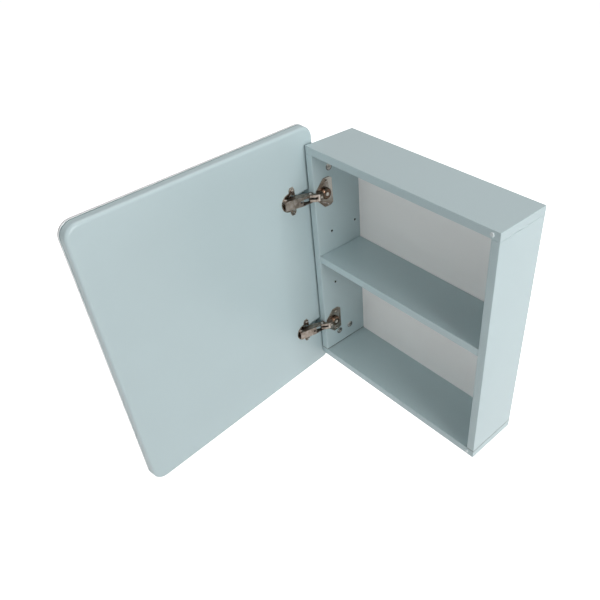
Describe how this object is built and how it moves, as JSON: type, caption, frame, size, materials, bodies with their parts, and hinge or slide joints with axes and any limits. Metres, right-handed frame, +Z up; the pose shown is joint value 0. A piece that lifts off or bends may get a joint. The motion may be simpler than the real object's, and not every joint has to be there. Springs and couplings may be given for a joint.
{
  "type": "mirror cabinet",
  "caption": "Wall-hung mirror cabinet: shallow lacquered box with a shelf on pins and an overhanging round-cornered mirrored door that swings on concealed cup hinges.",
  "frame": {"origin": "centre of the carcass back face, on the wall plane", "axes": "+Y into the wall, so the cabinet's front faces -Y; +X to the right as seen from the front; +Z up"},
  "size_m": [0.4715, 0.5766, 0.565],
  "materials": {
    "blue_lacquer": "satin pale blue-grey lacquer on fibreboard",
    "white_board": "matt warm white faced hardboard",
    "hinge_nickel": "nickel-plated pressed steel",
    "screw_nickel": "nickel-plated steel screws",
    "pin_nickel": "nickel-plated steel pins",
    "spring_steel": "bare spring steel",
    "zinc": "die-cast zinc and zinc-plated steel",
    "beech": "plain beech",
    "clear_bumper": "clear soft bumper",
    "mirror_glass": "silvered float glass with polished edge",
    "foam_tape": "white foam tape"
  },
  "bodies": {
    "carcass": {"top_panel": "blue_lacquer", "bottom_panel": "blue_lacquer", "left_side_panel": "blue_lacquer", "right_side_panel": "blue_lacquer", "back_panel": "white_board", "shelf": "blue_lacquer", "hanging_rail": "blue_lacquer", "shelf_pins": "pin_nickel", "cam_housings": "zinc", "cam_bolts": "zinc", "panel_dowels": "beech", "rail_dowels": "beech", "back_panel_nails": "zinc", "door_bumpers": "clear_bumper", "upper_hinge_plate": "hinge_nickel", "upper_plate_screws": "screw_nickel", "upper_hinge_arm": "hinge_nickel", "upper_arm_cap": "hinge_nickel", "upper_depth_screw": "screw_nickel", "upper_side_screw": "screw_nickel", "upper_arm_pins": "hinge_nickel", "lower_hinge_plate": "hinge_nickel", "lower_plate_screws": "screw_nickel", "lower_hinge_arm": "hinge_nickel", "lower_arm_cap": "hinge_nickel", "lower_depth_screw": "screw_nickel", "lower_side_screw": "screw_nickel", "lower_arm_pins": "hinge_nickel"},
    "outer_links": {"upper_outer_link": "hinge_nickel", "lower_outer_link": "hinge_nickel"},
    "inner_links": {"upper_inner_link": "hinge_nickel", "lower_inner_link": "hinge_nickel"},
    "door": {"door_panel": "blue_lacquer", "mirror_glass": "mirror_glass", "mirror_tape": "foam_tape", "upper_hinge_cup": "hinge_nickel", "upper_cup_screws": "screw_nickel", "upper_cup_pins": "hinge_nickel", "upper_cup_spring": "spring_steel", "lower_hinge_cup": "hinge_nickel", "lower_cup_screws": "screw_nickel", "lower_cup_pins": "hinge_nickel", "lower_cup_spring": "spring_steel"}
  },
  "joints": [
    {"name": "outer_link_swing", "type": "hinge", "parent": "carcass", "child": "outer_links", "pos_m": [-0.20744, -0.12663, 0], "axis": [0, 0, -1], "range_deg": [-111.6, 13.76]},
    {"name": "door_swing", "type": "hinge", "parent": "outer_links", "child": "door", "pos_m": [-0.21774, -0.17745, 0], "axis": [0, 0, -1], "range_deg": [-3.5, 27.2]},
    {"name": "inner_link_swing", "type": "hinge", "parent": "carcass", "child": "inner_links", "pos_m": [-0.213, -0.121, 0], "axis": [0, 0, -1], "range_deg": [-102.6, 12.8]}
  ],
  "couplings": [
    {"joint": "door_swing", "follows": "outer_link_swing", "ratio": -0.24217},
    {"joint": "inner_link_swing", "follows": "outer_link_swing", "ratio": 0.91849}
  ]
}
